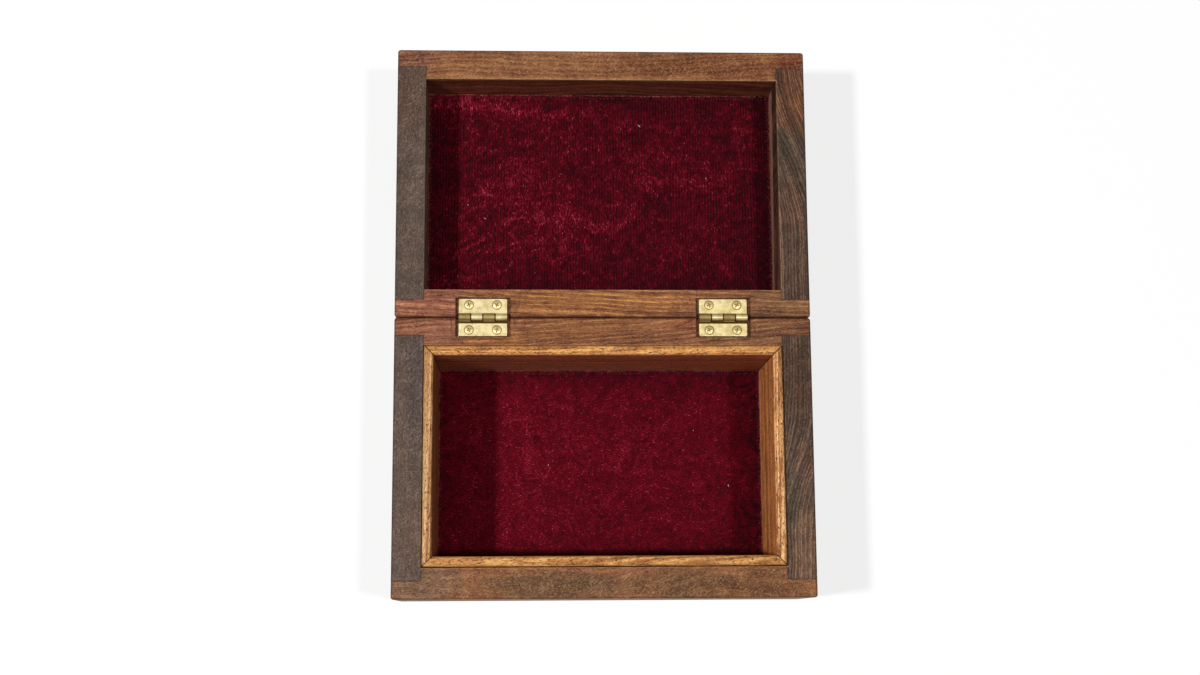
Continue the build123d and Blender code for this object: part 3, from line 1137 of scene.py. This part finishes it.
def velvet_material(name, sheet, look):
    """Velvet: crushed pile whose lean also carries painted shade along the walls and a painted fall of
    light, fine speckle, glints of single fibres and a soft sheen.
    """
    shade = Shade(name)
    lean = shade.add("Attribute", {}, output="Fac", attribute_name="pile_lean")
    turned = shade.add("Attribute", {}, output="Fac", attribute_name="turned_edge")
    speckle = shade.grit(0.42, detail=2, roughness=0.8)
    mottle = shade.grit(1.7, detail=2, roughness=0.6)
    fibres, bundles = pile_fibres(shade, sheet.ribbed)
    rough = (fibres - 0.5) * 2.0 + (speckle - 0.5) * 1.7
    tone = (lean - 0.5) * 0.8 + rough * (lean * 0.8 + 0.4) + (mottle - 0.5) * 0.25 + sheet.level
    if sheet.ribbed:
        tone = tone + fine_ribs(shade, look)
    pile = shade.ramp(tone, (0.0, look.shade), (1.0, look.lit))
    glints = (fibres * 0.65 + speckle * 0.35 + lean * 0.3).fade(0.72, 0.86) * 0.4
    glints = glints.most((bundles + lean * 0.22).fade(0.79, 0.90) * 0.85)
    pile = shade.mix(glints, pile, look.glint)
    frayed = turned.fade(0.3, 0.9) * shade.grit(0.6, detail=2).fade(0.4, 0.6)
    pile = shade.mix(frayed * 0.75, pile, look.thread)
    return shade.surface(
        Base_Color=pile,
        Roughness=0.9,
        Specular_IOR_Level=0.0,
        Sheen_Weight=0.08,
        Sheen_Roughness=0.35,
        Sheen_Tint=look.sheen,
        Normal=shade.bump(speckle * 0.5 + fibres * 0.5, 0.0003),
    )


def thread_mesh(name, paths, radius):
    """Thin tubes along short paths, in millimetres."""
    points, faces = [], []
    for path in paths:
        start = len(points)
        for index, place in enumerate(path):
            ahead = path[min(index + 1, len(path) - 1)] - path[max(index - 1, 0)]
            side = ahead.cross(Vector((0, 0, 1))).normalized()
            above = side.cross(ahead).normalized()
            thickness = radius * (THREAD_TAPER if index in (0, len(path) - 1) else 1.0)
            for turn in range(THREAD_SIDES):
                angle = 2 * math.pi * turn / THREAD_SIDES
                offset = side * math.cos(angle) + above * math.sin(angle)
                points.append((place + offset * thickness) * MILLIMETRE)
        last = len(points) - THREAD_SIDES
        for ring in range(start, last, THREAD_SIDES):
            for turn in range(THREAD_SIDES):
                here, after = ring + turn, ring + (turn + 1) % THREAD_SIDES
                faces.append((here, after, after + THREAD_SIDES, here + THREAD_SIDES))
        faces.append(tuple(reversed(range(start, start + THREAD_SIDES))))
        faces.append(tuple(range(last, last + THREAD_SIDES)))
    mesh = bpy.data.meshes.new(name)
    mesh.from_pydata(points, [], faces)
    mesh.shade_smooth()
    return mesh


def curl(start, heading, reach, rise, draw):
    """A short thread that starts at a place, curls along a heading, rises and sinks back."""
    path = [start]
    for bend in range(THREAD_BENDS):
        heading += draw.uniform(-0.6, 0.6)
        forward = Vector((math.cos(heading), math.sin(heading), rise * (1 - bend)))
        path.append(path[-1] + forward * (reach / THREAD_BENDS))
    return path


def edge_threads(low, high, look, draw):
    """Loose threads along the four cut edges of a velvet sheet."""
    paths = []
    inset, margin = 0.25, 1.0
    gap = look.thread_gap / MILLIMETRE
    sides = (
        (Vector((low.x, low.y, 0)), Vector((1, 0, 0)), high.x - low.x, math.pi / 2),
        (Vector((high.x, low.y, 0)), Vector((0, 1, 0)), high.y - low.y, math.pi),
        (Vector((high.x, high.y, 0)), Vector((-1, 0, 0)), high.x - low.x, -math.pi / 2),
        (Vector((low.x, high.y, 0)), Vector((0, -1, 0)), high.y - low.y, 0.0),
    )
    for corner, direction, run, inwards in sides:
        travelled = margin
        while travelled < run - margin:
            normal = Vector((math.cos(inwards), math.sin(inwards), 0))
            start = corner + direction * travelled + normal * inset
            start.z = high.z - draw.uniform(0.15, 0.4)
            heading = inwards + draw.uniform(-1.3, 1.3)
            paths.append(curl(start, heading, draw.uniform(0.5, 1.3), draw.uniform(0.2, 0.7), draw))
            travelled += gap * draw.uniform(0.4, 1.6)
    return paths


def stray_threads(low, high, number, draw):
    """Single fibres that lie about on the velvet."""
    paths = []
    margin = 3
    for _ in range(number):
        x = draw.uniform(low.x + margin, high.x - margin)
        y = draw.uniform(low.y + margin, high.y - margin)
        start = Vector((x, y, high.z + 0.02))
        paths.append(curl(start, draw.uniform(0, 2 * math.pi), draw.uniform(0.3, 0.9), 0.02, draw))
    return paths


def lint_fibres(body, low, high, look, draw):
    """Fibres of lint on the velvet, with the largest one at its own place in the lid."""
    paths = stray_threads(low, high, look.lint_fibres, draw)
    if body == "lid":
        start = Vector((*look.lint_place, high.z * MILLIMETRE)) / MILLIMETRE
        paths.append(curl(start, heading=1.9, reach=1.3, rise=0.05, draw=draw))
    return paths


def thread_material(name, tint):
    """Cotton or silk thread, lighter and darker along its length."""
    shade = Shade(name)
    twist = shade.grit(0.25, detail=1)
    return shade.surface(
        Base_Color=shade.ramp(twist, (0.35, dimmed(tint, 0.5)), (0.65, tint)),
        Roughness=twist * 0.2 + 0.6, Specular_IOR_Level=0.2, Normal=shade.bump(twist, 0.00002),
    )


def thread_piece(name, paths, radius, material, body):
    """A piece made of thin threads, which moves with the base or the lid."""
    piece = bpy.data.objects.new(name, thread_mesh(name, paths, radius))
    bpy.context.scene.collection.objects.link(piece)
    piece.data.materials.append(material)
    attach(piece, body)
    return piece


class LayVelvet(bpy.types.Operator):
    """Lay the crushed velvet in the base and in the lid, with its loose threads"""

    bl_idname = "jewellery_box.lay_velvet"
    bl_label = "Lay velvet"

    def execute(self, context):
        look = context.scene.jewellery_box.velvet
        thread_radius, lint_radius = look.thread_radius / MILLIMETRE, look.lint_radius / MILLIMETRE
        thread_finish = thread_material("velvet_thread", look.thread)
        lint_finish = thread_material("lint_fibre", look.lint)
        sheets = (
            Sheet("base", base_crush_and_light_falloff, ribbed=False, level=look.base_level, seed=71),
            Sheet("lid", lid_crush_and_light_falloff, ribbed=True, level=look.lid_level, seed=73),
        )
        for sheet in sheets:
            body = sheet.body
            node = body + "_velvet"
            low, high = extent(node)
            cloth = velvet_cloth(node, sheet, look)
            cloth.data.materials.append(velvet_material(node + "_pile", sheet, look))
            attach(cloth, body)
            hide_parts(node)
            draw = random.Random(sheet.seed)
            paths = edge_threads(low, high, look, draw)
            paths += stray_threads(low, high, look.stray_threads, draw)
            threads = thread_piece(node + "_threads", paths, thread_radius, thread_finish, body)
            paths = lint_fibres(body, low, high, look, draw)
            lint = thread_piece(node + "_lint", paths, lint_radius, lint_finish, body)
            size = (high - low) * MILLIMETRE + Vector((2, 2, 0)) * look.edge_reach
            node + "_card"
        return {"FINISHED"}


# Brass

def screw_rings(shade):
    """Distance from the middle of the nearest hinge screw, in millimetres."""
    sideways = abs(hinge_distance(shade) - SCREW_SPREAD)
    endways = abs(abs(shade.y) - SCREW_LINE)
    return diagonal(sideways, endways)


def brass(name, look, tarnish_and_shade):
    """Pale brass with brush marks, dents and tarnish, duller to the right; the mask adds tarnish, and
    near-black painted shade where it is strongest.
    """
    shade = Shade(name)
    x, y, z = shade.x, shade.y, shade.z
    brushed = shade.noise(x * 1.2, y * 9, z * 9, detail=3, roughness=0.6)
    dents = shade.grit(1.7, detail=2, roughness=0.55)
    pits = shade.grit(0.35, detail=1).fade(0.66, 0.76)
    cloud = shade.grit(3, detail=3, roughness=0.6)
    tone = (brushed - 0.5) * 0.5 + (cloud - 0.5) * 1.5 - x * 0.0016 + 0.43
    metal = shade.ramp(tone, (0.2, look.body), (0.75, look.bright))
    dull_and_shaded = tarnish_and_shade(shade, cloud).most(pits * 0.6)
    metal = shade.mix(dull_and_shaded, metal, look.tarnish)
    # Painted shade, near black, in the gaps between the knuckles, under the barrel and round the screw
    # heads
    metal = shade.mix(dull_and_shaded.fade(0.82, 1.0) * 0.9, metal, dimmed(look.tarnish, 0.25))
    return shade.surface(
        Base_Color=metal,
        Metallic=1.0,
        Roughness=dull_and_shaded * 0.3 + (brushed - 0.5) * 0.15 + look.roughness,
        Normal=shade.bump(dents + brushed * 0.12 - pits * 0.2, look.dents),
    )


def knuckle_gaps(shade):
    """1 in the gaps between the knuckles of a hinge."""
    from_hinge = hinge_distance(shade)
    to_gap = from_hinge.least(abs(from_hinge - HINGE_HALF / 2))
    return to_gap.fade(0.4, 0.15) * abs(shade.y).fade(KNUCKLE + 0.45, KNUCKLE + 0.05)


def leaf_tarnish_and_shade(shade, cloud):
    """Tarnish round the screws, along the edges of the leaves and in patches, with painted shade beside
    the barrel and in the gaps between the knuckles.
    """
    ring = screw_rings(shade)
    round_screws = ring.fade(SCREW_RADIUS + 0.32, SCREW_RADIUS) * 0.92
    low = shade.z.fade(LEAF_LOW.z + 0.5, LEAF_LOW.z + 0.1) * 0.8
    # Painted shade where the leaf meets the barrel
    barrel = abs(shade.y).fade(KNUCKLE + 0.75, KNUCKLE + 0.05)
    barrel = barrel * shade.z.fade(LEAF_FACE + 0.9, LEAF_FACE + 0.1)
    patchy = cloud.fade(0.56, 0.72) * 0.3
    # Painted shade in the gaps between the knuckles
    return round_screws.most(low).most(barrel * 0.7).most(patchy).most(knuckle_gaps(shade))


def base_leaf_tarnish_and_shade(shade, cloud):
    """As for the lid's leaves, with duller knuckles and a painted shadow in the gap beside the barrel.
    """
    knuckles = abs(shade.y).fade(KNUCKLE + 0.65, KNUCKLE + 0.15) * (cloud.fade(0.2, 0.6) * 0.4 + 0.45)
    outwards = -shade.y - KNUCKLE
    # Painted shadow of the barrel on the leaf
    gap = outwards.fade(1.2, 0.9) * outwards.fade(-0.05, 0.25)
    return leaf_tarnish_and_shade(shade, cloud).most(knuckles).most(gap)


def screw_grime(shade, cloud):
    """Tarnish in the recess and round the rim of a screw head."""
    ring = screw_rings(shade)
    rim = ring.fade(SCREW_RADIUS - 0.45, SCREW_RADIUS - 0.1) * 0.8
    deep = shade.z.fade(SCREW_HIGH.z - 0.15, SCREW_HIGH.z - 0.4)
    recess = deep * ring.fade(SCREW_RADIUS - 0.25, 0.8) * 0.7
    return rim.most(recess).most(cloud.fade(0.36, 0.66) * 0.5)


def pin_grime(shade, cloud):
    return cloud.fade(0.3, 0.7) * 0.5


class FinishHinges(bpy.types.Operator):
    """Finish the hinge leaves, their pins and their screws"""

    bl_idname = "jewellery_box.finish_hinges"
    bl_label = "Finish hinges"

    def execute(self, context):
        look = context.scene.jewellery_box.brass
        metals = {
            "_lid_leaf": brass("lid_leaf_brass", look, leaf_tarnish_and_shade),
            "_base_leaf": brass("base_leaf_brass", look, base_leaf_tarnish_and_shade),
            "_pin": brass("pin_brass", look, pin_grime),
            "_screws": brass("screw_brass", look, screw_grime),
        }
        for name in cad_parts:
            for ending, metal in metals.items():
                if name.endswith(ending):
                    finish_node(name, metal)
        return {"FINISHED"}


# Floor, lamps and camera

# Shares of the floor's radius between which the floor turns into the white of the room
FLOOR_FADE = (0.1, 0.4)

# Number of corners of the round floor
FLOOR_CORNERS = 96


def room_light(strength):
    """An even white room whose light is weaker than it looks."""
    world = bpy.data.worlds.new("white_room")
    bpy.context.scene.world = world
    nodes = Nodes(world)
    level = nodes.add("MapRange", {"Value": nodes.seen_directly(), "To Min": strength, "To Max": 1.0})
    background = nodes.tree.nodes["Background"]
    nodes.put(background.inputs["Color"], (1, 1, 1))
    nodes.put(background.inputs["Strength"], level)


def floor_material(studio):
    """A pale matt floor that turns into the white of the room away from the box."""
    shade = Shade("pale_floor")
    seen = shade.seen_directly()
    shade.surface(
        Base_Color=shade.mix(seen, studio.floor, (1, 1, 1)), Roughness=1.0, Specular_IOR_Level=0.0
    )
    near, far = (studio.floor_radius / MILLIMETRE * part for part in FLOOR_FADE)
    distance = diagonal(shade.x, shade.y)
    away = shade.add(
        "MapRange", {"Value": distance, "From Min": near, "From Max": far, "To Min": studio.glow},
        interpolation_type="SMOOTHSTEP",
    )
    pale, white = Value(shade, shade.shader.outputs[0]), shade.add("Emission", {})
    joined = shade.add("MixShader", {0: away * seen, 1: pale, 2: white})
    shade.put(shade.tree.nodes["Material Output"].inputs["Surface"], joined)
    return shade.material


def lay_floor(studio):
    """A round floor under the box."""
    mesh = bpy.data.meshes.new("floor")
    radius = studio.floor_radius
    turns = [2 * math.pi * index / FLOOR_CORNERS for index in range(FLOOR_CORNERS)]
    points = [(radius * math.cos(turn), radius * math.sin(turn), 0) for turn in turns]
    mesh.from_pydata(points, [], [tuple(range(FLOOR_CORNERS))])
    mesh.materials.append(floor_material(studio))
    floor = bpy.data.objects.new("floor", mesh)
    bpy.context.scene.collection.objects.link(floor)


def hang_lamp(name, side, height, power, studio):
    """A square lamp beside the box, at an angle above the floor, that faces the box."""
    lamp = bpy.data.lights.new(name, "AREA")
    lamp.energy = power
    lamp.size = studio.lamp_size
    holder = bpy.data.objects.new(name, lamp)
    rise = math.sin(height)
    direction = Vector((side * math.cos(height), -studio.lamp_lead * rise, rise)).normalized()
    holder.location = direction * studio.lamp_distance
    holder.rotation_euler = direction.to_track_quat("Z", "Y").to_euler()
    bpy.context.scene.collection.objects.link(holder)


def place_camera(studio):
    """The camera, where the photograph was taken from."""
    data = bpy.data.cameras.new("camera")
    data.sensor_width = 36.0
    data.lens = studio.lens
    data.clip_start = 0.01
    camera = bpy.data.objects.new("camera", data)
    camera.location = studio.place
    camera.rotation_mode = "ZYX"
    camera.rotation_euler = Euler(studio.turn, "ZYX")
    bpy.context.scene.collection.objects.link(camera)
    bpy.context.scene.camera = camera


class SetUpStudio(bpy.types.Operator):
    """Set up the floor, the lamps and the camera"""

    bl_idname = "jewellery_box.set_up_studio"
    bl_label = "Set up studio"

    def execute(self, context):
        studio = context.scene.jewellery_box.studio
        context.scene.view_settings.view_transform = "Standard"
        room_light(studio.ambient)
        lay_floor(studio)
        hang_lamp("left_lamp", -1, studio.key_height, studio.key, studio)
        hang_lamp("right_lamp", 1, studio.fill_height, studio.fill, studio)
        place_camera(studio)
        return {"FINISHED"}


OPERATORS = (
    FinishSideBoards,
    FinishLongBoards,
    FinishPanels,
    FinishLiner,
    FinishCards,
    LayVelvet,
    FinishHinges,
    SetUpStudio,
)


class JewelleryBoxPanel(bpy.types.Panel):
    """Steps that finish the jewellery box, in order"""

    bl_idname = "VIEW3D_PT_jewellery_box"
    bl_label = "Jewellery box"
    bl_space_type = "VIEW_3D"
    bl_region_type = "UI"
    bl_category = "Jewellery box"

    def draw(self, context):
        for operator in OPERATORS:
            self.layout.operator(operator.bl_idname)


CLASSES = (
    LeftWood, RightWood, LongWood, PanelWood, LinerWood, Card, Velvet, Brass, Studio, JewelleryBox,
    *OPERATORS,
    JewelleryBoxPanel,
)


def register():
    for kind in CLASSES:
        bpy.utils.register_class(kind)
    bpy.types.Scene.jewellery_box = bpy.props.PointerProperty(type=JewelleryBox)


def unregister():
    del bpy.types.Scene.jewellery_box
    for kind in reversed(CLASSES):
        bpy.utils.unregister_class(kind)


def main():
    register()
    bpy.ops.jewellery_box.finish_side_boards()
    bpy.ops.jewellery_box.finish_long_boards()
    bpy.ops.jewellery_box.finish_panels()
    bpy.ops.jewellery_box.finish_liner()
    bpy.ops.jewellery_box.finish_cards()
    bpy.ops.jewellery_box.lay_velvet()
    bpy.ops.jewellery_box.finish_hinges()
    bpy.ops.jewellery_box.set_up_studio()


if __name__ == "__main__":
    main()
